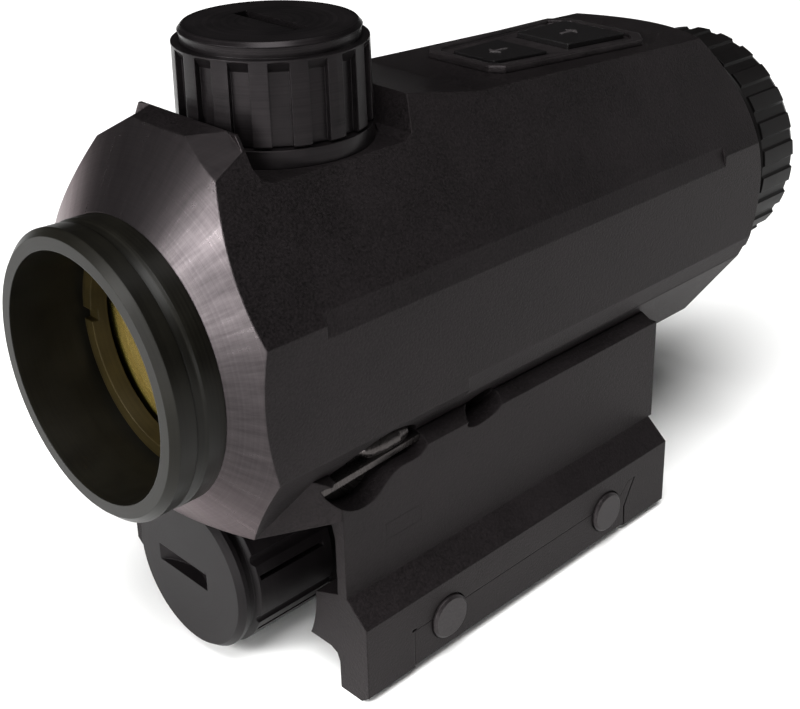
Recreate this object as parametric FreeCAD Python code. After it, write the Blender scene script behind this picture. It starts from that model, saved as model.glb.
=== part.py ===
# Compact rail-mounted sight: prism body on an integral clamp mount.
# Frame: +X the clamp side, -Y the objective end, +Z up. The origin is on the
# rail seat, at the middle of the mount. All lengths are in millimetres.
import FreeCAD
import Part
import math
import os

os.makedirs("parts", exist_ok=True)
V = FreeCAD.Vector

# Rail and mount
rail_half_top = 7.83
rail_half_width = 10.6
rail_crown = 2.74
groove_pitch = 10.01
mount_half_width = 15.4
mount_half_length = 18.75
mount_bottom = -3.45
mount_side_top = 3.53
mount_shoulder_top = 5.35
neck_half_width = 13.3
neck_rear = 19.2
neck_top = 15.7
seat_half_width = 11.9
bolt_shank_radius = 1.65
bolt_head_radius = 1.85
bolt_height = 0.1
clamp_front = -13.8
clamp_rear = 12.96
clamp_top = 0.75
clamp_tab_top = 1.8
clamp_lift = 0.2
clamp_gap = 0.03
clamp_end_gap = 0.2

# Optical axis and body section
axis_height = 23.8
flank_half_width = 13.25
flank_bottom = 17.85
flank_top = 28.36
upper_slope = 0.624
lower_slope = 0.643
body_bottom = 11.0
front_cone_radius = 10.96
front_cone_y = -26.48
front_cone_slope = 0.65
rear_cone_radius = 13.25
rear_cone_y = 35.15
rear_cone_slope = 1.25
window_floor = 10.7
body_rear = 36.6
main_bore_radius = 8.9
front_bore_radius = 10.2
front_bore_end = -19.0

# Turret pocket and turrets
turret_y = -12.27
pocket_front = -20.0
pocket_rear = -5.16
pocket_floor = 37.15
pocket_corner = 1.2
turret_top = 46.03
turret_grip_radius = 7.3
turret_base_radius = 7.35
turret_crown_radius = 6.7
turret_lobes = 16
turret_groove_width = 1.5
turret_groove_depth = 0.6
turret_groove_run_out = 0.9
windage_floor = 13.25
running_fit = 0.04

# Objective end
rim_y = -30.71
rim_radius = 10.42
rim_outer_radius = 10.96
hood_bore_radius = 9.44
lens_radius = 9.3

# Battery cap and coin cell
battery_height = 3.99
battery_cap_radius = 6.91
battery_cap_front = -23.65
battery_cap_rear = -14.6
recess_back = -13.6
recess_half_width = 12.3
recess_top = 12.3
recess_corner = 2.0
recess_round_radius = 9.7
collar_radius = 5.9
collar_front = -20.5
cell_radius = 5.0
cell_thickness = 2.5

# Eyepiece
diopter_front = 37.6
diopter_rear = 44.57
diopter_radius = 11.62
barrel_radius = 9.4
eye_lens_radius = 8.0

# Button pod
pod_front = 7.3
pod_rear = 27.0
top_front_y = 2.63
top_front_z = 38.87
top_rear_y = 31.98
top_rear_z = 37.78


def box(x0, x1, y0, y1, z0, z1):
    return Part.makeBox(x1 - x0, y1 - y0, z1 - z0, V(x0, y0, z0))


def rod(radius, start, end):
    a = V(*start)
    b = V(*end)
    return Part.makeCylinder(radius, (b - a).Length, a, b - a)


def prism(points, direction):
    """A straight prism from a closed outline of 3-D points."""
    corners = [V(*p) for p in points]
    face = Part.Face(Part.makePolygon(corners + [corners[0]]))
    return face.extrude(V(*direction))


def turned(profile, base, axis):
    """A solid turned about an axis from (distance along it, radius) points."""
    axis = V(*axis)
    base = V(*base)
    side = V(0, 0, 1) if abs(axis.z) < 0.5 else V(1, 0, 0)
    corners = [base + axis * a + side * r for a, r in profile]
    face = Part.Face(Part.makePolygon(corners + [corners[0]]))
    return face.revolve(base, axis, 360)


def export(shape, name):
    if shape.ShapeType == "Compound" and len(shape.Solids) == 1:
        shape = shape.Solids[0]
    shape.exportStep("parts/" + name + ".step")


def along_axis(profile):
    return turned(profile, (0, 0, axis_height), (0, 1, 0))


def top_z(y):
    slope = (top_rear_z - top_front_z) / (top_rear_y - top_front_y)
    return top_front_z + slope * (y - top_front_y)


def fluted(radius, root, count, start, end, base, axis, groove):
    """A knurled grip: a cylinder with straight grooves cut round it."""
    axis = V(*axis)
    base = V(*base)
    side = V(0, 0, 1) if abs(axis.z) < 0.5 else V(1, 0, 0)
    grip = Part.makeCylinder(radius, end - start, base + axis * start, axis)
    cutters = []
    for i in range(count):
        turn = FreeCAD.Rotation(axis, 360.0 * (i + 0.5) / count)
        centre = turn.multVec(side * (root + groove))
        foot = base + centre + axis * (start - 1)
        cutters.append(Part.makeCylinder(groove, end - start + 2, foot, axis))
    return grip.cut(Part.makeCompound(cutters))


def octagon(y0, y1, bottom, top=42.0):
    """The body's long section, from its lowest plane up to the crown."""
    low = flank_half_width - (flank_bottom - bottom) * lower_slope
    high = flank_half_width - (top - flank_top) * upper_slope
    right = [(low, bottom), (flank_half_width, flank_bottom),
             (flank_half_width, flank_top), (high, top)]
    left = [(-x, z) for x, z in reversed(right)]
    outline = [(x, y0, z) for x, z in right + left]
    return prism(outline, (0, y1 - y0, 0))


def body_envelope():
    """The cones that the lathe leaves at both ends of the body."""
    wide = 26.0
    front_wide = front_cone_y + front_cone_slope * (wide - front_cone_radius)
    rear_wide = rear_cone_y - rear_cone_slope * (wide - rear_cone_radius)
    rear_small = rear_cone_radius - (body_rear - rear_cone_y) / rear_cone_slope
    return along_axis([(front_cone_y, 0), (front_cone_y, front_cone_radius),
                       (front_wide, wide), (rear_wide, wide),
                       (body_rear, rear_small), (body_rear, 0)])


def crown_cut():
    """Everything above the stepped and ramped top of the body."""
    c = pocket_corner
    side = [(-40, 40.45), (pocket_front, 40.45), (pocket_front, pocket_floor + c),
            (pocket_front + 0.3 * c, pocket_floor + 0.3 * c),
            (pocket_front + c, pocket_floor), (pocket_rear - c, pocket_floor),
            (pocket_rear - 0.3 * c, pocket_floor + 0.3 * c),
            (pocket_rear, pocket_floor + c), (pocket_rear + 0.7, 40.05),
            (top_front_y, top_front_z), (top_rear_y, top_rear_z),
            (45, top_z(45)), (45, 60), (-40, 60)]
    return prism([(-30, y, z) for y, z in side], (60, 0, 0))


def corner_facets():
    """The flat cut on each top corner of the front wall."""
    cutters = []
    for s in (1, -1):
        a = V(3.08 * s, -22.56, 40.5)
        b = V(7.09 * s, -23.07, 38.28)
        c = V(4.49 * s, -20.14, 40.42)
        normal = (b - a).cross(c - a)
        normal.normalize()
        if normal.z < 0:
            normal = normal * -1
        along = (b - a)
        along.normalize()
        across = normal.cross(along)
        reach = 2.75
        p = []
        for i, j in ((-9, -9), (9, -9), (9, reach), (-9, reach)):
            p.append(a + along * i + across * j * s)
        face = Part.Face(Part.makePolygon(p + [p[0]]))
        cutters.append(face.extrude(normal * 8))
    return cutters


def edge_bands():
    """Long chamfers along the flank's upper and lower edges."""
    cutters = []
    for s in (1, -1):
        upper = [(flank_half_width * s, 27.36), (12.73 * s, 29.2), (16 * s, 29.2),
                 (16 * s, 27.36)]
        cutters.append(prism([(x, -19.3, z) for x, z in upper], (0, 48.1, 0)))
        lower = [(flank_half_width * s, 18.9), (12.75 * s, 17.1), (16 * s, 17.1),
                 (16 * s, 18.9)]
        cutters.append(prism([(x, -5.3, z) for x, z in lower], (0, 40.0, 0)))
    return cutters


def smooth_prism(outline, x0, x1):
    """A prism along X from a smooth closed outline of (y, z) points."""
    curve = Part.BSplineCurve()
    curve.interpolate(Points=[V(x0, y, z) for y, z in outline], PeriodicFlag=True)
    face = Part.Face(Part.Wire([curve.toShape()]))
    return face.extrude(V(x1 - x0, 0, 0))


def side_window():
    """A leaf-shaped opening where the neck meets the body."""
    outline = [(-19.8, 14.8), (-19.3, 13.9), (-18.4, 13.1), (-17.0, 12.6),
               (-15.3, 12.9), (-14.1, 13.8), (-12.6, 14.35), (-10.6, 14.5),
               (-9.9, 15.2), (-10.1, 16.2), (-11.2, 16.95), (-12.9, 17.45),
               (-14.6, 17.3), (-16.2, 16.6), (-17.7, 15.9), (-19.0, 15.3)]
    return smooth_prism(outline, window_floor, 14.7)


def window_insert():
    """The plug that closes the window below its surface, with a rib and a boss."""
    plug = box(window_floor, window_floor + 0.4, -30, 0, 0, 30)
    rib = prism([(window_floor, y, z) for y, z in
                 [(-20.0, 14.35), (-9.5, 15.0), (-9.5, 15.5), (-20.0, 14.95)]],
                (1.6, 0, 0))
    boss = turned([(-15.7, 0), (-15.1, 0.5), (-14.4, 0.8), (-13.2, 0.95), (-11.9, 0.9),
                   (-10.8, 0.6), (-10.3, 0)], (11.4, 0, 15.9), (0, 1, 0))
    boss = boss.common(box(window_floor, 13, -30, 0, 15.0, 17))
    return plug.fuse([rib, boss]).common(side_window())


def vent_hole():
    outline = [(-5.6, 14.86), (-5.07, 15.4), (-3.9, 15.86), (-2.6, 16.2), (-1.45, 16.04),
               (-1.1, 15.67), (-1.54, 15.04), (-2.8, 14.5), (-4.17, 14.31),
               (-5.07, 14.41)]
    return smooth_prism(outline, 10.6, 14.5)


def mount_screw_places():
    return [(x, y) for x in (-7.8, 7.8) for y in (-5.0, 15.6)]


def chin_fillets():
    """Wedges that carry the front of the chin out to the neck's sides."""
    wedges = []
    for s in (1, -1):
        plan = [(8.3 * s, -24.0), (neck_half_width * s, -mount_half_length),
                (8.3 * s, -mount_half_length)]
        face = [(8.3 * s, body_bottom), (8.8 * s, body_bottom),
                (neck_half_width * s, recess_top), (neck_half_width * s, neck_top - 0.7),
                (12.0 * s, neck_top), (8.3 * s, neck_top)]
        wedge = prism([(x, y, 5.0) for x, y in plan], (0, 0, 20))
        wedges.append(wedge.common(prism([(x, -30, z) for x, z in face], (0, 20, 0))))
    return wedges


def main_housing():
    body = octagon(-27.0, body_rear, body_bottom)
    body = body.fuse(chin_fillets()).common(body_envelope())
    body = body.cut(crown_cut())
    rear_ramp = prism([(-20, 29.8, 10.0), (-20, 30.3, 11.0), (-20, 33.4, 17.9),
                       (-20, 45, 20.0), (-20, 45, 10)], (40, 0, 0))
    body = body.cut([rear_ramp] + corner_facets() + edge_bands())
    bores = [rod(main_bore_radius, (0, -30, axis_height), (0, 40, axis_height)),
             rod(front_bore_radius, (0, -30, axis_height),
                 (0, front_bore_end, axis_height))]
    turret_room = rod(turret_grip_radius + 0.25, (0, turret_y, pocket_floor),
                      (0, turret_y, 50.0))
    turret_well = rod(6.3, (0, turret_y, pocket_floor - 3), (0, turret_y, 50.0))
    turret_screw = rod(2.7, (0, turret_y, 30.0), (0, turret_y, 40.0))
    windage_well = rod(6.3, (3 - windage_floor, turret_y, axis_height),
                       (-20.0, turret_y, axis_height))
    windage_screw = rod(2.7, (-7.0, turret_y, axis_height),
                        (-20.0, turret_y, axis_height))
    cap_room = rod(battery_cap_radius + 0.3, (0, -30, battery_height),
                   (0, recess_back, battery_height))
    pod_well = pod_outline(0.75, 8.2, 26.1, 34.9, 41.0)
    wire_way = rod(1.2, (0, 10.8, 5.0), (0, 10.8, 17.0))
    screws = [rod(1.3, (x, y, 0), (x, y, 17.2)) for x, y in mount_screw_places()]
    cuts = bores + [turret_room, turret_well, turret_screw, windage_well,
                    windage_screw, cap_room, pod_well, wire_way]
    cuts += [side_window(), vent_hole()] + screws
    return body.cut(cuts)


def battery_recess():
    """The pocket in the neck's front that the battery cap screws into."""
    cap_part = rod(battery_cap_radius + 0.4, (0, -30, battery_height),
                   (0, recess_back, battery_height))
    round_part = rod(recess_round_radius, (0, -30, battery_height),
                     (0, recess_back, battery_height))
    round_part = round_part.common(box(-20, 20, -40, 0, 0, 30))
    w = recess_half_width
    c = recess_corner
    half = [(9.6, mount_shoulder_top - 1.05), (w, mount_shoulder_top),
            (w, recess_top - c), (w - 0.13 * c, recess_top - 0.5 * c),
            (w - 0.5 * c, recess_top - 0.13 * c), (w - c, recess_top)]
    outline = half + [(-x, z) for x, z in reversed(half)]
    wide_part = prism([(x, -30, z) for x, z in outline], (0, 30 + recess_back, 0))
    return [cap_part, round_part, wide_part]


def clamp_side(gap, end_gap, reach):
    """The clamp's outline along the mount: a long bar with a tab at its rear."""
    outline = [(clamp_front - gap, mount_bottom - reach),
               (clamp_rear - 0.19 + end_gap, mount_bottom - reach),
               (clamp_rear - 0.36 + end_gap, -0.7), (clamp_rear + 0.44 + end_gap, 0.8),
               (clamp_rear + 1.04 + end_gap, clamp_tab_top + gap),
               (clamp_rear + 0.2, clamp_tab_top + gap),
               (clamp_rear - 0.8, clamp_top + gap), (clamp_front - gap, clamp_top + gap)]
    return prism([(9.0, y, z) for y, z in outline], (12.0, 0, 0))


def mount_base():
    side = [(mount_half_width, mount_bottom), (mount_half_width, mount_side_top),
            (neck_half_width, mount_shoulder_top), (neck_half_width, neck_top - 0.7),
            (12.0, neck_top), (0, neck_top)]
    outline = side + [(-x, z) for x, z in reversed(side)]
    block = prism([(x, -mount_half_length, z) for x, z in outline],
                  (0, 2 * mount_half_length, 0))
    tail = box(-neck_half_width, neck_half_width, mount_half_length - 1, neck_rear,
               mount_shoulder_top, neck_top - 0.7)
    block = block.fuse(tail)
    block = block.cut(octagon(-30, 40, body_bottom))
    slot = [(-rail_half_top, 0), (seat_half_width - 0.7, 0), (seat_half_width, -0.3),
            (12.2, -1.0), (12.2, mount_bottom - 1), (-7.0, mount_bottom - 1),
            (-rail_half_width - 0.05, -rail_crown)]
    block = block.cut(prism([(x, -30, z) for x, z in slot], (0, 60, 0)))
    jaw_way = clamp_side(clamp_gap, clamp_end_gap, 1.0).common(
        box(10.0, 20, -20, 20, -10, 10))
    corner_relief = box(14.8, 20, clamp_front - 0.25, clamp_front + 0.2,
                        clamp_top, clamp_top + 0.2)
    toe = prism([(mount_half_width, -30, mount_bottom + 0.7),
                 (mount_half_width - 0.9, -30, mount_bottom),
                 (mount_half_width + 1, -30, mount_bottom - 1)], (0, 60, 0))
    toe_far = prism([(-mount_half_width, -30, mount_bottom + 0.7),
                     (-mount_half_width + 0.9, -30, mount_bottom),
                     (-mount_half_width - 1, -30, mount_bottom - 1)], (0, 60, 0))
    cuts = [jaw_way, corner_relief, toe, toe_far]
    for y in (-groove_pitch, groove_pitch):
        cuts.append(rod(bolt_shank_radius + running_fit, (-20, y, bolt_height),
                        (20, y, bolt_height)))
        cuts.append(rod(2.95, (-mount_half_width - 1, y, bolt_height),
                        (-mount_half_width + 1.9, y, bolt_height)))
        cuts.append(rod(bolt_head_radius + 0.1, (14.0, y, bolt_height),
                        (20, y, bolt_height)))
    for x, y in mount_screw_places():
        cuts.append(rod(1.3, (x, y, -1), (x, y, 20)))
        cuts.append(rod(2.3, (x, y, -1), (x, y, 2.4)))
    cuts.append(rod(1.2, (0, 10.8, 5.0), (0, 10.8, 17.0)))
    cuts.append(rod(1.2, (0, recess_back - 1, 5.0), (0, 10.8, 5.0)))
    cuts += battery_recess()
    window_corner = box(11.0, 14.0, -19.0, -17.95, 15.3, 16.0)
    cuts += [side_window(), vent_hole(), window_corner]
    block = block.cut(cuts)
    collar = turned([(collar_front, 5.15), (collar_front, collar_radius),
                     (recess_back + 0.3, collar_radius),
                     (recess_back + 0.3, 5.15)],
                    (0, 0, battery_height), (0, 1, 0))
    collar = collar.cut(box(-9, 9, recess_back, -10, -9, 0))
    pocket = rod(3.8, (0, -30, battery_height),
                 (0, recess_back + 0.35, battery_height))
    return block.fuse(collar).cut(pocket)


def clamp_bar():
    """The moving jaw: a flush bar with a bevelled lip under the rail."""
    x1 = mount_half_width
    low = mount_bottom + clamp_lift
    points = [(10.3, clamp_tab_top), (x1, clamp_tab_top), (x1, low + 0.7),
              (x1 - 0.9, low), (10.15, low),
              (rail_half_width + 0.05, -rail_crown), (10.3, -2.3)]
    bar = prism([(x, -20, z) for x, z in points], (0, 40, 0))
    bar = bar.common(clamp_side(0, 0, 1.0))
    holes = []
    for y in (-groove_pitch, groove_pitch):
        holes.append(rod(bolt_shank_radius + running_fit, (5, y, bolt_height),
                         (20, y, bolt_height)))
        holes.append(rod(bolt_head_radius + running_fit, (x1 - 1.3, y, bolt_height),
                         (20, y, bolt_height)))
    return bar.cut(holes)


def cross_bolt(y):
    """Clamp bolt: round head, plain shank that sits in a rail groove."""
    x1 = mount_half_width
    head = rod(bolt_head_radius, (x1 - 1.3, y, bolt_height),
               (x1 + 0.35, y, bolt_height))
    rims = [e for e in head.Edges if e.BoundBox.XMin > x1 + 0.3]
    head = head.makeChamfer(0.2, rims)
    shank = rod(bolt_shank_radius, (-mount_half_width + 0.3, y, bolt_height),
                (x1 - 1.2, y, bolt_height))
    return head.fuse(shank)


def bolt_nuts():
    """Hexagon nuts in the far side's pockets, one on each cross bolt."""
    nuts = []
    for y in (-groove_pitch, groove_pitch):
        corners = []
        for i in range(6):
            a = math.radians(60 * i)
            corners.append((-mount_half_width + 0.3, y + 2.8 * math.cos(a),
                            bolt_height + 2.8 * math.sin(a)))
        nut = prism(corners, (1.5, 0, 0))
        hole = rod(bolt_shank_radius + running_fit, (-20, y, bolt_height),
                   (-10, y, bolt_height))
        nuts.append(nut.cut(hole))
    return Part.makeCompound(nuts)


def mount_screws():
    screws = []
    for x, y in mount_screw_places():
        head = rod(2.2, (x, y, 0.5), (x, y, 2.4))
        socket = rod(1.1, (x, y, 0.4), (x, y, 1.5))
        shank = rod(1.3, (x, y, 2.3), (x, y, 17.0))
        screws.append(head.fuse(shank).cut(socket))
    return Part.makeCompound(screws)


def objective_hood():
    profile = [(rim_y, hood_bore_radius), (rim_y, rim_radius),
               (rim_y + 0.54, rim_outer_radius), (-28.8, rim_outer_radius - 0.05),
               (-28.72, 10.6), (-28.6, 10.6), (-28.5, rim_outer_radius - 0.3),
               (-28.09, rim_outer_radius - 0.12), (-27.9, rim_outer_radius),
               (front_cone_y, rim_outer_radius), (front_cone_y, front_bore_radius),
               (-20.4, front_bore_radius), (-20.4, hood_bore_radius)]
    return along_axis(profile)


def retaining_ring():
    ring = along_axis([(-24.6, 8.4), (-24.6, hood_bore_radius),
                       (-23.4, hood_bore_radius), (-23.4, 8.0)])
    notches = [box(-10, -8.2, -24.7, -24.1, axis_height - 0.5, axis_height + 0.5),
               box(8.2, 10, -24.7, -24.1, axis_height - 0.5, axis_height + 0.5)]
    return ring.cut(notches)


def objective_lens():
    """A thick meniscus: two spherical faces on a ground edge."""
    disc = rod(lens_radius, (0, -23.4, axis_height), (0, -20.5, axis_height))
    ball = Part.makeSphere(60, V(0, -23.4 + 60, axis_height))
    return disc.common(ball)


def lens_seal():
    return Part.makeTorus(9.85, 0.3, V(0, -20.0, axis_height), V(0, 1, 0))


def prism_carrier():
    return along_axis([(-17.9, 7.9), (-17.9, main_bore_radius),
                       (9.0, main_bore_radius), (9.0, 7.9)])


def roof_prism():
    """The erecting block, with its roof edge along the top."""
    s = 5.2
    points = [(-s, -s), (s, -s), (s, 2.0), (0, 6.0), (-s, 2.0)]
    return prism([(x, -4.0, axis_height + z) for x, z in points], (0, 12.5, 0))


def prism_cradle():
    """A ring that holds the prism block inside the carrier tube."""
    ring = along_axis([(-2.0, 0), (-2.0, 7.9), (6.5, 7.9), (6.5, 0)])
    return ring.cut([roof_prism()])


def emitter():
    base = rod(1.6, (0, 10.8, 15.2), (0, 10.8, 17.2))
    dome = Part.makeSphere(0.9, V(0, 10.8, 17.2))
    return base.fuse(dome)


def circuit_board():
    return pod_outline(-0.2, 8.9, 25.4, 35.0, 35.9)


def eyepiece_barrel():
    return along_axis([(26.1, 8.0), (26.1, main_bore_radius),
                       (body_rear, main_bore_radius), (body_rear, 10.7),
                       (37.3, 10.7), (37.3, barrel_radius), (43.6, barrel_radius),
                       (43.6, barrel_radius - 1.0), (34.8, barrel_radius - 1.0),
                       (34.8, 8.0)])


def diopter_ring():
    grip = fluted(diopter_radius, diopter_radius - 0.42, 26, diopter_front + 0.9,
                  diopter_rear - 0.9, (0, 0, axis_height), (0, 1, 0), 0.75)
    ends = along_axis([(diopter_front, 0), (diopter_front, 10.9),
                       (diopter_front + 0.9, 11.35), (diopter_rear - 0.9, 11.35),
                       (diopter_rear, 10.9), (diopter_rear, 0)])
    hole = rod(barrel_radius + running_fit, (0, 30, axis_height), (0, 50, axis_height))
    shape = grip.fuse(ends).cut(hole)
    lip = along_axis([(43.8, 8.6), (43.8, 9.7), (diopter_rear, 9.7),
                      (diopter_rear, 8.6)])
    return shape.fuse(lip)


def eyepiece_cell():
    return along_axis([(36.0, 7.4), (36.0, barrel_radius - 1.0 - running_fit),
                       (43.2, barrel_radius - 1.0 - running_fit), (43.2, 7.8),
                       (41.9, 7.8), (41.9, eye_lens_radius), (38.5, eye_lens_radius),
                       (38.5, 7.4)])


def eyepiece_lens():
    disc = rod(eye_lens_radius, (0, 38.5, axis_height), (0, 41.9, axis_height))
    ball = Part.makeSphere(40, V(0, 41.9 - 40, axis_height))
    return disc.common(ball)


def cap_profile(base, axis, floor, top):
    """A turret's screw cap: grooved grip, plain crown and a hollow for threads."""
    crown = turret_crown_radius
    grip = turret_grip_radius
    foot = floor + 1.45
    shoulder = top - 1.15
    solid = turned([(foot, 0), (foot, grip - 0.15), (foot + 0.15, grip),
                    (shoulder, grip - 0.1), (shoulder, crown - 0.15),
                    (top - 0.4, crown - 0.1), (top - 0.35, crown),
                    (top, crown - 0.3), (top, 0)], base, axis)
    axis = V(*axis)
    side = V(0, 0, 1) if abs(axis.z) < 0.5 else V(1, 0, 0)
    across = axis.cross(side)
    root = grip - turret_groove_depth
    outline = [(root, floor), (grip + 1, floor), (grip + 1, shoulder + 0.1),
               (grip - 0.1, shoulder - 0.1), (root, shoulder - turret_groove_run_out)]
    corners = [V(*base) + side * r + axis * a - across * (turret_groove_width / 2)
               for r, a in outline]
    face = Part.Face(Part.makePolygon(corners + [corners[0]]))
    cutter = face.extrude(across * turret_groove_width)
    cutters = []
    for i in range(turret_lobes):
        turned_cutter = cutter.copy()
        turned_cutter.rotate(V(*base), axis, 360.0 * (i + 0.45) / turret_lobes)
        cutters.append(turned_cutter)
    cap = solid.cut(cutters)
    hollow = rod(6.2 + running_fit, tuple(V(*base) + axis * (floor - 1)),
                 tuple(V(*base) + axis * (top - 2.4)))
    return cap.cut(hollow)


def elevation_cap():
    base = (0, turret_y, 0)
    cap = cap_profile(base, (0, 0, 1), pocket_floor, turret_top)
    slot = box(-3.6, 3.6, turret_y - 0.65, turret_y + 0.65, turret_top - 1.0,
               turret_top + 1)
    return cap.cut(slot)


def windage_cap():
    base = (0, turret_y, axis_height)
    cap = cap_profile(base, (-1, 0, 0), windage_floor, windage_floor + 7.2)
    slot = box(-windage_floor - 8.2, -windage_floor - 6.2, turret_y - 0.65,
               turret_y + 0.65, axis_height - 3.6, axis_height + 3.6)
    return cap.cut(slot)


def turret_seat(base, axis, floor, top):
    """The fixed threaded spigot that a screw cap closes on."""
    return turned([(floor - 3.0, 2.6), (floor - 3.0, 6.3), (floor, 6.3),
                   (floor, turret_base_radius), (floor + 1.35, turret_base_radius),
                   (floor + 1.35, 6.2), (top, 6.2), (top, 5.0), (floor + 1.8, 5.0),
                   (floor + 1.8, 2.6)], base, axis)


def adjuster(base, axis, tip, floor, slot):
    """The coin-slotted dial and its screw, which bears on the prism carrier."""
    dial = turned([(tip, 0), (tip, 2.56), (floor + 1.9, 2.56),
                   (floor + 1.9, 4.9), (floor + 3.3, 4.9), (floor + 3.3, 0)],
                  base, axis)
    return dial.cut(slot)


def elevation_dial():
    slot = box(-2.4, 2.4, turret_y - 0.4, turret_y + 0.4, pocket_floor + 2.7,
               pocket_floor + 5)
    tip = axis_height + main_bore_radius + running_fit
    return adjuster((0, turret_y, 0), (0, 0, 1), tip, pocket_floor, slot)


def windage_dial():
    slot = box(-windage_floor - 5, -windage_floor - 2.7, turret_y - 0.4,
               turret_y + 0.4, axis_height - 2.4, axis_height + 2.4)
    tip = main_bore_radius + running_fit
    return adjuster((0, turret_y, axis_height), (-1, 0, 0), tip, windage_floor, slot)


def battery_cap():
    """The coin-slotted cap: chamfered rim, neck and eight-sided grip."""
    base = (0, 0, battery_height)
    y = battery_cap_front
    grip = battery_cap_radius
    solid = turned([(y, 0), (y, 6.35), (y + 0.5, 6.75), (y + 0.9, 6.75),
                    (y + 1.0, 6.45), (y + 1.5, 6.45), (y + 1.8, grip),
                    (battery_cap_rear, grip), (battery_cap_rear, 0)], base, (0, 1, 0))
    cutters = []
    for i in range(8):
        a = math.radians(25.5 + 45 * i)
        reach = grip + 0.22
        foot = (reach * math.cos(a), y + 1.4, battery_height + reach * math.sin(a))
        head = (foot[0], battery_cap_rear + 1, foot[2])
        cutters.append(rod(0.5, foot, head))
        slot = box(grip - 0.6, grip + 1, y + 2.0, battery_cap_rear - 0.8,
                   battery_height - 0.2, battery_height + 0.2)
        slot.rotate(V(*base), V(0, -1, 0), 13.2 + 45 * i)
        cutters.append(slot)
    hollow = rod(collar_radius + running_fit, (0, y + 1.45, battery_height),
                 (0, 0, battery_height))
    coin = rod(5.0, (-0.7, y - 3.9, battery_height - 0.75),
               (-0.7, y - 3.9, battery_height + 0.75))
    return solid.cut(cutters + [hollow, coin])


def battery_seal():
    """A flat washer that closes the gap behind the cap."""
    return turned([(battery_cap_rear, collar_radius + running_fit),
                   (battery_cap_rear, 6.4), (recess_back - 0.02, 6.4),
                   (recess_back - 0.02, collar_radius + running_fit)],
                  (0, 0, battery_height), (0, 1, 0))


def cap_gasket(base, axis, top):
    """A flat washer inside a turret's screw cap."""
    return turned([(top - 2.58, 4.9), (top - 2.58, 6.2), (top - 2.4, 6.2),
                   (top - 2.4, 4.9)], base, axis)


def battery_cells():
    """Two coin cells, one on the other, inside the cap and the collar."""
    cells = []
    for i in range(2):
        y = -22.1 + i * (cell_thickness + 0.04)
        cells.append(rod(cell_radius, (0, y, battery_height),
                         (0, y + cell_thickness, battery_height)))
    return Part.makeCompound(cells)


def battery_contact():
    plate = rod(3.6, (0, recess_back - 0.15, battery_height),
                (0, recess_back + 0.3, battery_height))
    finger = rod(1.3, (0, -17.0, battery_height), (0, recess_back, battery_height))
    return plate.fuse(finger)


def pod_outline(grow, y0, y1, z0, z1):
    """The button pod's plan: narrow in front, wide behind, corners cut."""
    front = 3.35 + grow
    rear = 4.55 + grow
    points = [(-front + 1.0, y0), (front - 1.0, y0), (front, y0 + 1.0),
              (rear, y1 - 1.6), (rear - 1.6, y1), (-rear + 1.6, y1),
              (-rear, y1 - 1.6), (-front, y0 + 1.0)]
    return prism([(x, y, z0) for x, y in points], (0, 0, z1 - z0))


def button_places():
    front = [(-2.35, 9.2), (2.35, 9.2), (2.95, 15.3), (-2.95, 15.3)]
    rear = [(-3.0, 18.1), (3.0, 18.1), (3.5, 25.4), (-3.5, 25.4)]
    return front, rear


def pad(corners, grow, z0, z1):
    cx = sum(p[0] for p in corners) / 4
    cy = sum(p[1] for p in corners) / 4
    grown = []
    for x, y in corners:
        grown.append((x + math.copysign(grow, x - cx), y + math.copysign(grow, y - cy)))
    return prism([(x, y, z0) for x, y in grown], (0, 0, z1 - z0))


def button_bezel():
    """The pod's frame, with a raised rim and two windows."""
    plug = pod_outline(0.7, 8.25, 26.05, 36.0, 38.3)
    lid = pod_outline(1.1, pod_front, pod_rear, 37.9, 41.0)
    slab = prism([(-10, 0, top_z(0) + 0.65), (-10, 45, top_z(45) + 0.65),
                  (-10, 45, top_z(45)), (-10, 0, top_z(0))], (20, 0, 0))
    frame = lid.common(slab)
    inner = pod_outline(0.45, pod_front + 0.75, pod_rear - 0.75, 30, 45)
    floor = prism([(-10, 0, top_z(0) + 0.3), (-10, 45, top_z(45) + 0.3),
                   (-10, 45, 60), (-10, 0, 60)], (20, 0, 0))
    frame = frame.cut(inner.common(floor))
    below = prism([(-10, 0, top_z(0) + 0.2), (-10, 45, top_z(45) + 0.2),
                   (-10, 45, 30), (-10, 0, 30)], (20, 0, 0))
    frame = frame.fuse(plug.common(below))
    front, rear = button_places()
    return frame.cut([pad(front, 0.1, 30, 45), pad(rear, 0.1, 30, 45)])


def button(corners, proud):
    """A rubber pad on its plunger, level with the pod's rim."""
    cap = pad(corners, 0, 36.9, 42).common(
        prism([(-10, 0, top_z(0) + proud), (-10, 45, top_z(45) + proud),
               (-10, 45, 30), (-10, 0, 30)], (20, 0, 0)))
    cy = sum(p[1] for p in corners) / 4
    stem = rod(1.0, (0, cy, 36.75), (0, cy, 37.2))
    return cap.fuse(stem)


export(main_housing(), "main_housing")
export(mount_base(), "mount_base")
export(window_insert(), "window_insert")
export(clamp_bar(), "clamp_bar")
export(cross_bolt(-groove_pitch), "cross_bolt_front")
export(cross_bolt(groove_pitch), "cross_bolt_rear")
export(bolt_nuts(), "bolt_nuts")
export(mount_screws(), "mount_screws")
export(objective_hood(), "objective_hood")
export(retaining_ring(), "retaining_ring")
export(objective_lens(), "objective_lens")
export(prism_carrier(), "prism_carrier")
export(prism_cradle(), "prism_cradle")
export(roof_prism(), "roof_prism")
export(emitter(), "emitter")
export(circuit_board(), "circuit_board")
export(eyepiece_barrel(), "eyepiece_barrel")
export(diopter_ring(), "diopter_ring")
export(eyepiece_cell(), "eyepiece_cell")
export(eyepiece_lens(), "eyepiece_lens")
export(elevation_cap(), "elevation_cap")
export(turret_seat((0, turret_y, 0), (0, 0, 1), pocket_floor, turret_top - 2.6),
       "elevation_seat")
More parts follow.
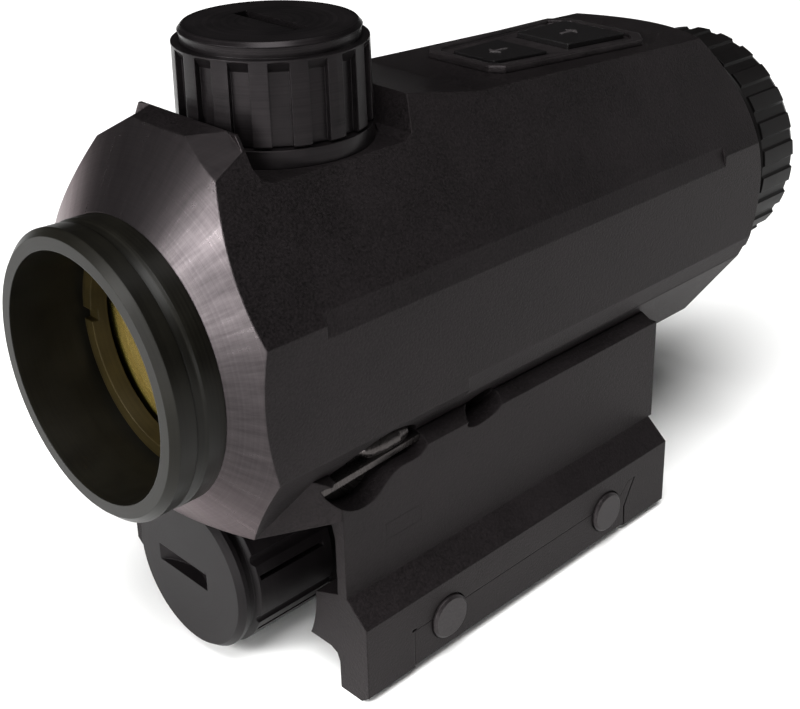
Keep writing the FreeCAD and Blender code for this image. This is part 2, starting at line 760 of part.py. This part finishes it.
export(cap_gasket((0, turret_y, 0), (0, 0, 1), turret_top), "elevation_gasket")
export(cap_gasket((0, turret_y, axis_height), (-1, 0, 0), windage_floor + 7.2),
       "windage_gasket")
export(lens_seal(), "lens_seal")
export(elevation_dial(), "elevation_dial")
export(windage_cap(), "windage_cap")
export(turret_seat((0, turret_y, axis_height), (-1, 0, 0), windage_floor,
                   windage_floor + 4.6), "windage_seat")
export(windage_dial(), "windage_dial")
export(battery_cap(), "battery_cap")
export(battery_seal(), "battery_seal")
export(battery_cells(), "battery_cells")
export(battery_contact(), "battery_contact")
export(button_bezel(), "button_bezel")
front_pad, rear_pad = button_places()
export(button(front_pad, 0.55), "button_down")
export(button(rear_pad, 0.8), "button_up")
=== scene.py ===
import bpy
import bmesh
from math import radians
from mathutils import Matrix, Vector


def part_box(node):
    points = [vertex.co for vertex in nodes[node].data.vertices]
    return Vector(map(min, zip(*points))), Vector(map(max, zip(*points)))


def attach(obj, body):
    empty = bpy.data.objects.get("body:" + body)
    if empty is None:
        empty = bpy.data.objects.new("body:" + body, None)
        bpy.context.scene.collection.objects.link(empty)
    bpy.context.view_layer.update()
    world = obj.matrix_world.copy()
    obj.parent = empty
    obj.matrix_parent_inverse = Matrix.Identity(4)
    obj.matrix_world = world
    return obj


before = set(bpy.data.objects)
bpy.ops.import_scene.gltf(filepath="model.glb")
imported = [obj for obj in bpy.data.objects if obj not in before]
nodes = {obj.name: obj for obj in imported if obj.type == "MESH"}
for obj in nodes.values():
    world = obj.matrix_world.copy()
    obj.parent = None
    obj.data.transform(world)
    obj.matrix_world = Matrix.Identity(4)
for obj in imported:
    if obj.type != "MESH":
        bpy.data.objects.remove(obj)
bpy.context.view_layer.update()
mm = 0.001
print("frame loaded:", len(nodes), "parts")

# the optical axis and the turret, read from the frame
hoodLow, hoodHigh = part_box("objective_hood")
axisX = (hoodLow.x + hoodHigh.x) / 2
axisZ = (hoodLow.z + hoodHigh.z) / 2
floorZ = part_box("mount_base")[0].z


def linear(hexColour):
    values = [int(hexColour[i:i + 2], 16) / 255 for i in (1, 3, 5)]  # sRGB hex to linear
    return [v / 12.92 if v <= 0.04045 else ((v + 0.055) / 1.055) ** 2.4 for v in values] + [1.0]


# adds a node: settings are its properties or sockets, links are sockets by name or place,
# stops are a ramp's colours, and output is the socket it hands back
def addNode(tree, kind, links=None, stops=None, output=0, **settings):
    node = tree.nodes.new(kind)
    for name, value in settings.items():
        if hasattr(node, name):
            setattr(node, name, value)
        else:
            node.inputs[name.replace("_", " ")].default_value = value
    for place, source in (links or {}).items():
        if isinstance(source, (int, float, tuple)):
            node.inputs[place].default_value = source
        else:
            tree.links.new(source, node.inputs[place])
    for place, (position, colour) in enumerate(stops or []):
        elements = node.color_ramp.elements
        element = elements[place] if place < len(elements) else elements.new(position)
        element.position = position
        element.color = linear(colour)
    return node.outputs[output]


def newMaterial(name, **surface):
    material = bpy.data.materials.new(name)
    material.use_nodes = True
    tree = material.node_tree
    shader = tree.nodes["Principled BSDF"]
    for socket, value in surface.items():
        shader.inputs[socket.replace("_", " ")].default_value = value
    return material, tree, shader


# distance from an axis through a centre, the distance along it, and the two across it
def aroundAxis(tree, place, axis, centre):
    moved = addNode(tree, "ShaderNodeVectorMath", {0: place, 1: centre}, operation="SUBTRACT")
    parts = addNode(tree, "ShaderNodeSeparateXYZ", {0: moved}).node
    across = [parts.outputs[name] for name in "XYZ" if name != axis]
    first = addNode(tree, "ShaderNodeMath", {0: across[0], 1: across[0]}, operation="MULTIPLY")
    both = addNode(tree, "ShaderNodeMath", {0: across[1], 1: across[1], 2: first}, operation="MULTIPLY_ADD")
    radius = addNode(tree, "ShaderNodeMath", {0: both, 1: 0.5}, operation="POWER")
    return radius, parts.outputs[axis], across


# black anodised aluminium, bead blasted: a dull soft sheen with a fine even grain,
# and at the front cone the brighter rings that the lathe leaves, crossed by radial streaks
# that are a painted highlight standing in for the streaked sheen of a turned face
blastedLook = {
    "dark": "#070606", "light": "#1a1718",
    "ringDark": "#242122", "ringLight": "#3f3b3c",
    "grainMm": 0.2,  # the real grit is finer, drawn as coarse as it needs to show
    "cloudMm": 7.0,
    "cloudShare": 0.3,
    "ringMm": 0.3,
    "streakMm": 0.7,
    "streakShare": 0.6,
    "streakTwist": 0.12,
    "edgeMm": 0.16,
    "reliefMm": 0.04,
    "coneY": -26.48, "coneR": 10.96, "coneSlope": 0.65, "coneReach": 18.2,  # the cone's line, in mm
    "facet": ((3.08, -22.56, 40.5), (7.09, -23.07, 38.28), (4.49, -20.14, 40.42)),  # its corner cut, in mm
    "facetEnd": -18.0,
    "roughness": (0.42, 0.54), "ringRoughness": (0.24, 0.36),
    "metallic": (0.1, 0.85),
}


def blastedAluminium():
    look = blastedLook
    material, tree, shader = newMaterial("anodisedAluminiumBlasted", Specular_IOR_Level=0.12,
                                         Specular_Tint=linear("#fff3f5"))
    place = addNode(tree, "ShaderNodeTexCoord", output="Object")
    grain = addNode(tree, "ShaderNodeTexNoise", {"Vector": place},
                    Scale=1 / (look["grainMm"] * mm), Detail=3.0, Roughness=0.7)
    cloud = addNode(tree, "ShaderNodeTexNoise", {"Vector": place},
                    Scale=1 / (look["cloudMm"] * mm), Detail=4.0, Roughness=0.6)
    tone = addNode(tree, "ShaderNodeMix", {0: look["cloudShare"], 2: grain, 3: cloud}, data_type="FLOAT")
    skin = addNode(tree, "ShaderNodeValToRGB", {0: tone}, [(0.36, look["dark"]), (0.64, look["light"])])

    radius, along, across = aroundAxis(tree, place, "Y", opticCentre)
    # the corner facet takes the cone's lighter colour and shine: its lighter colour is a painted highlight,
    # where the facet is seen lit
    corners = [Vector(corner) * mm for corner in look["facet"]]
    facetNormal = (corners[1] - corners[0]).cross(corners[2] - corners[0]).normalized()
    facetNormal *= 1 if facetNormal.z > 0 else -1
    facetLevel = facetNormal.dot(corners[0])
    coneLine = (look["coneY"] - look["coneSlope"] * look["coneR"]) * mm
    behind = addNode(tree, "ShaderNodeMath", {0: radius, 1: -look["coneSlope"], 2: along},
                     operation="MULTIPLY_ADD")
    nearCone = addNode(tree, "ShaderNodeMapRange", {0: behind}, From_Min=coneLine + 0.03 * mm,
                       From_Max=coneLine + 0.06 * mm, To_Min=1.0, To_Max=0.0)
    withinCone = addNode(tree, "ShaderNodeMath", {0: radius, 1: look["coneReach"] * mm},
                         operation="LESS_THAN")
    coneOnly = addNode(tree, "ShaderNodeMath", {0: nearCone, 1: withinCone}, operation="MULTIPLY")
    mirrored = addNode(tree, "ShaderNodeVectorMath", {0: place}, operation="ABSOLUTE")
    split = addNode(tree, "ShaderNodeSeparateXYZ", {0: mirrored}).node
    folded = addNode(tree, "ShaderNodeCombineXYZ",
                     {0: split.outputs["X"], 1: along, 2: split.outputs["Z"]})
    facetHeight = addNode(tree, "ShaderNodeVectorMath", {0: folded, 1: tuple(facetNormal)},
                          output="Value", operation="DOT_PRODUCT")
    facetGap = addNode(tree, "ShaderNodeMath", {0: facetHeight, 1: facetLevel}, operation="SUBTRACT")
    facetNear = addNode(tree, "ShaderNodeMath", {0: facetGap, 1: -0.05 * mm}, operation="GREATER_THAN")
    facetFront = addNode(tree, "ShaderNodeMath", {0: along, 1: look["facetEnd"] * mm},
                         operation="LESS_THAN")
    onFacet = addNode(tree, "ShaderNodeMath", {0: facetNear, 1: facetFront}, operation="MULTIPLY")
    # mask of the cone and the corner facet; on the facet it carries the painted highlight
    coneAndLitFacet = addNode(tree, "ShaderNodeMath", {0: coneOnly, 1: onFacet}, operation="MAXIMUM")
    ringPlace = addNode(tree, "ShaderNodeCombineXYZ", {0: radius})
    rings = addNode(tree, "ShaderNodeTexNoise", {"Vector": ringPlace},
                    Scale=1 / (look["ringMm"] * mm), Detail=4.0, Roughness=0.8)
    # radial streaks around the axis: a painted highlight, in place of the streaked sheen a turned face
    # shows under light
    turn = addNode(tree, "ShaderNodeMath", {0: across[1], 1: across[0]}, operation="ARCTAN2")
    arc = addNode(tree, "ShaderNodeMath", {0: turn, 1: look["coneR"] * mm}, operation="MULTIPLY")
    reach = addNode(tree, "ShaderNodeMath", {0: radius, 1: look["streakTwist"]}, operation="MULTIPLY")
    sweep = addNode(tree, "ShaderNodeCombineXYZ", {0: arc, 1: reach})
    paintedStreak = addNode(tree, "ShaderNodeTexNoise", {"Vector": sweep},
                     Scale=1 / (look["streakMm"] * mm), Detail=4.0, Roughness=0.7)
    ringAndStreakTone = addNode(tree, "ShaderNodeMix", {0: look["streakShare"], 2: rings, 3: paintedStreak},
                       data_type="FLOAT")
    # the cone's colour: real tool rings mixed with the painted highlight streaks
    ringsAndPaintedStreaks = addNode(tree, "ShaderNodeValToRGB", {0: ringAndStreakTone},
                     [(0.32, look["ringDark"]), (0.7, look["ringLight"])])
    colour = addNode(tree, "ShaderNodeMix", {0: coneAndLitFacet, 6: skin, 7: ringsAndPaintedStreaks}, output=2,
                     data_type="RGBA")
    tree.links.new(colour, shader.inputs["Base Color"])

    shine = addNode(tree, "ShaderNodeMapRange", {0: coneAndLitFacet},
                    To_Min=look["metallic"][0], To_Max=look["metallic"][1])
    tree.links.new(shine, shader.inputs["Metallic"])
    dull = addNode(tree, "ShaderNodeMapRange", {0: tone}, From_Min=0.3, From_Max=0.7,
                   To_Min=look["roughness"][0], To_Max=look["roughness"][1])
    shiny = addNode(tree, "ShaderNodeMapRange", {0: ringAndStreakTone}, From_Min=0.3, From_Max=0.7,
                    To_Min=look["ringRoughness"][1], To_Max=look["ringRoughness"][0])
    gloss = addNode(tree, "ShaderNodeMix", {0: coneAndLitFacet, 2: dull, 3: shiny}, data_type="FLOAT")
    tree.links.new(gloss, shader.inputs["Roughness"])
    faintRings = addNode(tree, "ShaderNodeMath", {0: rings, 1: 0.3}, operation="MULTIPLY")
    height = addNode(tree, "ShaderNodeMix", {0: coneAndLitFacet, 2: grain, 3: faintRings}, data_type="FLOAT")
    edge = addNode(tree, "ShaderNodeBevel", samples=6, Radius=look["edgeMm"] * mm)
    bump = addNode(tree, "ShaderNodeBump", {"Height": height, "Normal": edge},
                   Strength=1.0, Distance=look["reliefMm"] * mm)
    tree.links.new(bump, shader.inputs["Normal"])
    return material


turnedLook = {"ringMm": 0.16, "cloudMm": 3.0, "cloudShare": 0.4, "reliefMm": 0.015, "specular": 0.12}


# black anodised aluminium straight off the lathe: satin, with fine tool rings
def turnedAluminium(name, axis, centre, dark, light, roughness, metallic=0.3, edgeMm=0.1):
    look = turnedLook
    material, tree, shader = newMaterial(name, Metallic=metallic, Specular_IOR_Level=look["specular"])
    place = addNode(tree, "ShaderNodeTexCoord", output="Object")
    radius, along = aroundAxis(tree, place, axis, centre)[:2]
    ringPlace = addNode(tree, "ShaderNodeCombineXYZ", {0: radius, 1: along})
    rings = addNode(tree, "ShaderNodeTexNoise", {"Vector": ringPlace},
                    Scale=1 / (look["ringMm"] * mm), Detail=3.0, Roughness=0.75)
    cloud = addNode(tree, "ShaderNodeTexNoise", {"Vector": place},
                    Scale=1 / (look["cloudMm"] * mm), Detail=3.0)
    tone = addNode(tree, "ShaderNodeMix", {0: look["cloudShare"], 2: rings, 3: cloud}, data_type="FLOAT")
    skin = addNode(tree, "ShaderNodeValToRGB", {0: tone}, [(0.35, dark), (0.65, light)])
    tree.links.new(skin, shader.inputs["Base Color"])
    gloss = addNode(tree, "ShaderNodeMapRange", {0: tone}, From_Min=0.3, From_Max=0.7,
                    To_Min=roughness - 0.06, To_Max=roughness + 0.08)
    tree.links.new(gloss, shader.inputs["Roughness"])
    edge = addNode(tree, "ShaderNodeBevel", samples=6, Radius=edgeMm * mm)
    bump = addNode(tree, "ShaderNodeBump", {"Height": rings, "Normal": edge},
                   Strength=0.22, Distance=look["reliefMm"] * mm)
    tree.links.new(bump, shader.inputs["Normal"])
    return material


lensLook = {"centre": "#7a672f", "body": "#948044", "shade": "#6a602b", "rim": "#40391a",
            "cloudMm": 6.0, "waverMm": 0.5, "radiusMm": 9.3}


# glass under a gold reflecting coat: bright amber, with painted shade making it darker and greener towards
# the rim
def amberCoatedGlass():
    look = lensLook
    material, tree, shader = newMaterial("coatedOpticalGlass", Metallic=0.6, Roughness=0.16,
                                         Coat_Weight=1.0, Coat_Roughness=0.03)
    place = addNode(tree, "ShaderNodeTexCoord", output="Object")
    radius = aroundAxis(tree, place, "Y", opticCentre)[0]
    cloud = addNode(tree, "ShaderNodeTexNoise", {"Vector": place},
                    Scale=1 / (look["cloudMm"] * mm), Detail=2.0)
    wavering = addNode(tree, "ShaderNodeMath", {0: cloud, 1: look["waverMm"] * mm, 2: radius},
                       operation="MULTIPLY_ADD")
    rimward = addNode(tree, "ShaderNodeMapRange", {0: wavering}, From_Max=look["radiusMm"] * mm)
    # the darker, greener stops at the rim are painted shade, not the coat's colour
    tint = addNode(tree, "ShaderNodeValToRGB", {0: rimward},
                   [(0.0, look["centre"]), (0.84, look["body"]), (0.9, look["shade"]), (0.97, look["rim"])])
    tree.links.new(tint, shader.inputs["Base Color"])
    return material


# polished optical glass with a faint green coat: near black, with a sharp reflection
def clearGlass():
    material, tree, shader = newMaterial("polishedOpticalGlass", Roughness=0.04, IOR=1.52,
                                         Coat_Weight=0.6, Coat_Roughness=0.03)
    place = addNode(tree, "ShaderNodeTexCoord", output="Object")
    cloud = addNode(tree, "ShaderNodeTexNoise", {"Vector": place}, Scale=1 / (8 * mm), Detail=2.0)
    tint = addNode(tree, "ShaderNodeValToRGB", {0: cloud}, [(0.3, "#0b1512"), (0.7, "#14261f")])
    tree.links.new(tint, shader.inputs["Base Color"])
    return material


rubberLook = {"skinMm": 0.16, "edgeMm": 0.22, "reliefMm": 0.02}


# black silicone rubber from a spark-eroded mould: dull with a very fine skin
def mouldedRubber(name, dark, light, roughness):
    look = rubberLook
    material, tree, shader = newMaterial(name, Roughness=roughness, Specular_IOR_Level=0.35)
    place = addNode(tree, "ShaderNodeTexCoord", output="Object")
    skin = addNode(tree, "ShaderNodeTexNoise", {"Vector": place},
                   Scale=1 / (look["skinMm"] * mm), Detail=3.0)
    tint = addNode(tree, "ShaderNodeValToRGB", {0: skin}, [(0.35, dark), (0.65, light)])
    tree.links.new(tint, shader.inputs["Base Color"])
    edge = addNode(tree, "ShaderNodeBevel", samples=6, Radius=look["edgeMm"] * mm)
    bump = addNode(tree, "ShaderNodeBump", {"Height": skin, "Normal": edge},
                   Strength=0.25, Distance=look["reliefMm"] * mm)
    tree.links.new(bump, shader.inputs["Normal"])
    return material


grainedLook = {"edgeMm": 0.1, "spread": 0.07}  # spread is how far the roughness strays either way


# a machined, plated or moulded stock finish with a fine grain
def grainedFinish(name, dark, light, roughness, metallic, grainMm):
    look = grainedLook
    material, tree, shader = newMaterial(name, Metallic=metallic, Specular_IOR_Level=0.25)
    place = addNode(tree, "ShaderNodeTexCoord", output="Object")
    grain = addNode(tree, "ShaderNodeTexNoise", {"Vector": place}, Scale=1 / (grainMm * mm), Detail=4.0)
    tint = addNode(tree, "ShaderNodeValToRGB", {0: grain}, [(0.3, dark), (0.7, light)])
    tree.links.new(tint, shader.inputs["Base Color"])
    gloss = addNode(tree, "ShaderNodeMapRange", {0: grain}, From_Min=0.3, From_Max=0.7,
                    To_Min=roughness - look["spread"], To_Max=roughness + look["spread"])
    tree.links.new(gloss, shader.inputs["Roughness"])
    edge = addNode(tree, "ShaderNodeBevel", samples=6, Radius=look["edgeMm"] * mm)
    tree.links.new(edge, shader.inputs["Normal"])
    return material


opticCentre = (axisX, 0.0, axisZ)
turretLow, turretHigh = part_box("elevation_cap")
turretCentre = ((turretLow.x + turretHigh.x) / 2, (turretLow.y + turretHigh.y) / 2, 0.0)
windLow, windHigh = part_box("windage_cap")
windCentre = (0.0, (windLow.y + windHigh.y) / 2, (windLow.z + windHigh.z) / 2)
capLow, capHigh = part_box("battery_cap")
capCentre = (0.0, 0.0, (capLow.z + capHigh.z) / 2)

blasted = blastedAluminium()
hoodMetal = turnedAluminium("anodisedAluminiumHood", "Y", opticCentre,
                            "#0a0907", "#14130f", roughness=0.36, metallic=0.15)  # faint olive satin
retainer = turnedAluminium("anodisedAluminiumRetainer", "Y", opticCentre,
                           "#1f1a0d", "#332b15", roughness=0.4, metallic=0.4)  # olive tint is a painted reflection of the amber lens light
insertMetal = turnedAluminium("anodisedAluminiumInsert", "X", (0.0, -0.013, 0.0158),
                              "#2e2b2b", "#4a4645", roughness=0.28, metallic=0.8)  # bright, barely coated
eyepieceMetal = turnedAluminium("anodisedAluminiumEyepiece", "Y", opticCentre,
                                "#080707", "#100e0e", roughness=0.46, metallic=0.1)  # deep dull black
turretMetal = turnedAluminium("anodisedAluminiumTurret", "Z", turretCentre,
                              "#121011", "#211e1f", roughness=0.32, metallic=0.6)  # dark, glossy grips
windageMetal = turnedAluminium("anodisedAluminiumWindage", "X", windCentre,
                               "#121011", "#211e1f", roughness=0.32, metallic=0.6)
capMetal = turnedAluminium("anodisedAluminiumCap", "Y", capCentre,
                           "#0d0b0c", "#171415", roughness=0.45, metallic=0.1)  # soft satin face
bezelMetal = turnedAluminium("anodisedAluminiumBezel", "Z", (0.0, 0.017, 0.0),
                             "#1f1c1d", "#332f30", roughness=0.3, metallic=0.5, edgeMm=0.28)  # lit rim
steel = grainedFinish("blackOxideSteel", "#1e1b1c", "#322e2f", 0.42, 0.6, 0.2)  # greyer than the body
brass = grainedFinish("turnedBrass", "#6e5222", "#a9853c", 0.3, 1.0, 0.3)  # warm yellow shine
nickel = grainedFinish("nickelPlate", "#8c8c8a", "#b4b3b0", 0.25, 1.0, 0.3)  # bright cool shine
board = grainedFinish("solderMask", "#0d2e17", "#174526", 0.4, 0.0, 1.2)  # glossy deep green
plastic = grainedFinish("mouldedNylon", "#141314", "#1f1d1e", 0.5, 0.0, 0.5)  # even dull black
emitterLens = grainedFinish("redEpoxyLens", "#5c0806", "#8a0f0b", 0.15, 0.0, 0.8)  # clear deep red
rubber = mouldedRubber("siliconeRubber", "#090808", "#110f10", 0.36)
lensCoat = amberCoatedGlass()
glass = clearGlass()

finishes = {
    "main_housing": blasted, "mount_base": blasted, "clamp_bar": blasted,
    "objective_hood": hoodMetal, "retaining_ring": retainer, "window_insert": insertMetal,
    "objective_lens": lensCoat, "eyepiece_lens": glass, "roof_prism": glass,
    "prism_carrier": eyepieceMetal, "prism_cradle": plastic, "eyepiece_barrel": eyepieceMetal,
    "diopter_ring": eyepieceMetal, "eyepiece_cell": eyepieceMetal,
    "elevation_cap": turretMetal, "elevation_seat": turretMetal, "elevation_dial": brass,
    "windage_cap": windageMetal, "windage_seat": windageMetal, "windage_dial": brass,
    "elevation_gasket": rubber, "windage_gasket": rubber, "battery_seal": rubber, "lens_seal": rubber,
    "battery_cap": capMetal, "battery_cells": nickel, "battery_contact": brass,
    "button_bezel": bezelMetal, "button_down": rubber, "button_up": rubber,
    "cross_bolt_front": steel, "cross_bolt_rear": steel, "bolt_nuts": steel, "mount_screws": steel,
    "emitter": emitterLens, "circuit_board": board,
}
for name, node in nodes.items():
    node.data.materials.clear()
    node.data.materials.append(finishes[name])
print("materials done")


def placePiece(name, mesh, material, body):
    data = bpy.data.meshes.new(name)
    bmesh.ops.recalc_face_normals(mesh, faces=mesh.faces)
    mesh.to_mesh(data)
    mesh.free()
    data.materials.append(material)
    piece = bpy.data.objects.new(name, data)
    bpy.context.scene.collection.objects.link(piece)
    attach(piece, body)
    return piece


arrowLook = {"lengthMm": 2.2, "barMm": 0.35, "headMm": 0.75, "proudMm": 0.12, "sunkMm": 0.05,
             "slope": -0.0371}  # slope is the fall of the key's face along the body
pickedOut = mouldedRubber("siliconeRubberPrinted", "#2c292a", "#3a3637", 0.5)


def arrowMark(name, node, body, heading):
    look = arrowLook
    low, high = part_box(node)
    centre = (low + high) / 2
    half = look["lengthMm"] / 2 * mm
    bar = look["barMm"] / 2 * mm
    head = look["headMm"] * mm
    outline = [(-bar, -half), (bar, -half), (bar, half - head), (head, half - head),
               (0, half), (-head, half - head), (-bar, half - head)]
    mesh = bmesh.new()
    corners = [mesh.verts.new((x, y * heading, 0)) for x, y in outline]
    face = mesh.faces.new(corners)
    lifted = bmesh.ops.extrude_face_region(mesh, geom=[face])
    top = [v for v in lifted["geom"] if isinstance(v, bmesh.types.BMVert)]
    bmesh.ops.translate(mesh, verts=top, vec=(0, 0, look["proudMm"] * mm))
    height = high.z - look["sunkMm"] * mm + look["slope"] * (centre.y - low.y)
    for v in mesh.verts:
        v.co.z += height + look["slope"] * v.co.y
        v.co.y += centre.y
        v.co.x += centre.x
    return placePiece(name, mesh, pickedOut, body)


arrowMark("downArrow", "button_down", "down_key", -1)
arrowMark("upArrow", "button_up", "up_key", 1)
print("arrows done")


etchLook = {"yMm": (-14.5, -10.85), "zMm": (8.6, 10.0), "lineMm": 0.13, "proudMm": 0.012,
            "deepMm": 0.03, "insideMm": 2.1}  # insideMm is from the mount's widest face to its neck
etched = grainedFinish("laserEtchedLine", "#020202", "#060505", 0.9, 0.0, 0.3)


def etchedFrame():
    look = etchLook
    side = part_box("mount_base")[1].x - look["insideMm"] * mm
    y0, y1 = (v * mm for v in look["yMm"])
    z0, z1 = (v * mm for v in look["zMm"])
    mesh = bmesh.new()
    corners = [mesh.verts.new((side + look["proudMm"] * mm, y, z))
               for y, z in ((y0, z0), (y1, z0), (y1, z1), (y0, z1))]
    face = mesh.faces.new(corners)
    bmesh.ops.inset_individual(mesh, faces=[face], thickness=look["lineMm"] * mm)
    bmesh.ops.delete(mesh, geom=[face], context="FACES_ONLY")
    lifted = bmesh.ops.extrude_face_region(mesh, geom=mesh.faces[:])
    inner = [v for v in lifted["geom"] if isinstance(v, bmesh.types.BMVert)]
    bmesh.ops.translate(mesh, verts=inner, vec=(-look["deepMm"] * mm, 0, 0))
    return placePiece("etchedOutline", mesh, etched, "root")


etchedFrame()
print("etched outline done")


stageLook = {"dark": "#f8f8f7", "light": "#fdfdfc", "cloudScale": 3.0, "halfSize": 3.0, "belowMm": 0.01}


# matte backdrop paper: flat white with the faintest cloud
def studioFloor():
    material, tree, shader = newMaterial("mattePaperFloor", Roughness=0.9)
    place = addNode(tree, "ShaderNodeTexCoord", output="Object")
    cloud = addNode(tree, "ShaderNodeTexNoise", {"Vector": place},
                    Scale=stageLook["cloudScale"], Detail=2.0)
    tint = addNode(tree, "ShaderNodeValToRGB", {0: cloud},
                   [(0.3, stageLook["dark"]), (0.7, stageLook["light"])])
    tree.links.new(tint, shader.inputs["Base Color"])
    mesh = bmesh.new()
    bmesh.ops.create_grid(mesh, x_segments=1, y_segments=1, size=stageLook["halfSize"])
    bmesh.ops.translate(mesh, verts=mesh.verts, vec=(0, 0, floorZ - stageLook["belowMm"] * mm))
    data = bpy.data.meshes.new("studioFloor")
    mesh.to_mesh(data)
    mesh.free()
    data.materials.append(material)
    floor = bpy.data.objects.new("studioFloor", data)
    bpy.context.scene.collection.objects.link(floor)


studioFloor()


lightTarget = Vector((0.0, 0.002, 0.020))
lightSet = {
    "lowFront": {"direction": (0.14, -0.97, 0.18), "distance": 0.40, "size": 0.15, "watts": 0.95},
    "highFront": {"direction": (-0.13, -0.87, 0.47), "distance": 0.40, "size": 0.12, "watts": 1.65},
    "facetBox": {"direction": (0.07, 0.31, 0.95), "distance": 0.40, "size": 0.08, "watts": 0.14},
    "sideFill": {"direction": (0.67, -0.74, 0.00), "distance": 0.45, "size": 0.20, "watts": 1.0},
    "rearBox": {"direction": (0.35, 0.90, 0.25), "distance": 0.50, "size": 0.16, "watts": 0.15},
}


def areaLight(name, direction, distance, size, watts):
    heading = Vector(direction).normalized()
    lamp = bpy.data.lights.new(name, "AREA")
    lamp.size = size
    lamp.energy = watts
    light = bpy.data.objects.new(name, lamp)
    light.location = lightTarget + heading * distance
    light.rotation_euler = heading.to_track_quat("Z", "Y").to_euler()
    bpy.context.scene.collection.objects.link(light)


for name, settings in lightSet.items():
    areaLight(name, **settings)


skylight = {"direction": (0.26, -0.24, 0.93), "spread": 33.0, "strength": 3.45}  # broad, even on the floor


def broadLight():
    lamp = bpy.data.lights.new("broadLight", "SUN")
    lamp.energy = skylight["strength"]
    lamp.angle = radians(skylight["spread"])
    light = bpy.data.objects.new("broadLight", lamp)
    light.rotation_euler = Vector(skylight["direction"]).to_track_quat("Z", "Y").to_euler()
    bpy.context.scene.collection.objects.link(light)


broadLight()

worldLook = {"colour": "#ffffff", "strength": 0.015}


def softWorld():
    world = bpy.data.worlds.new("softWorld")
    bpy.context.scene.world = world
    world.use_nodes = True
    background = world.node_tree.nodes["Background"]
    background.inputs["Color"].default_value = linear(worldLook["colour"])
    background.inputs["Strength"].default_value = worldLook["strength"]


softWorld()
bpy.context.scene.view_settings.view_transform = "Standard"

cameraLook = {
    "position": (77.37, -72.57, 69.31),
    "back": (0.6305, -0.6686, 0.3943),
    "lens": 61.13,
    "sensor": 36.0,
    "shift": (-0.0953, -0.1275),
}


def sightCamera():
    look = cameraLook
    data = bpy.data.cameras.new("sightCamera")
    data.lens = look["lens"]
    data.sensor_width = look["sensor"]
    data.shift_x, data.shift_y = look["shift"]
    data.clip_start = 0.005
    camera = bpy.data.objects.new("sightCamera", data)
    camera.location = Vector(look["position"]) * mm
    camera.rotation_euler = Vector(look["back"]).to_track_quat("Z", "Y").to_euler()
    bpy.context.scene.collection.objects.link(camera)
    bpy.context.scene.camera = camera


sightCamera()
print("stage, light and camera done")
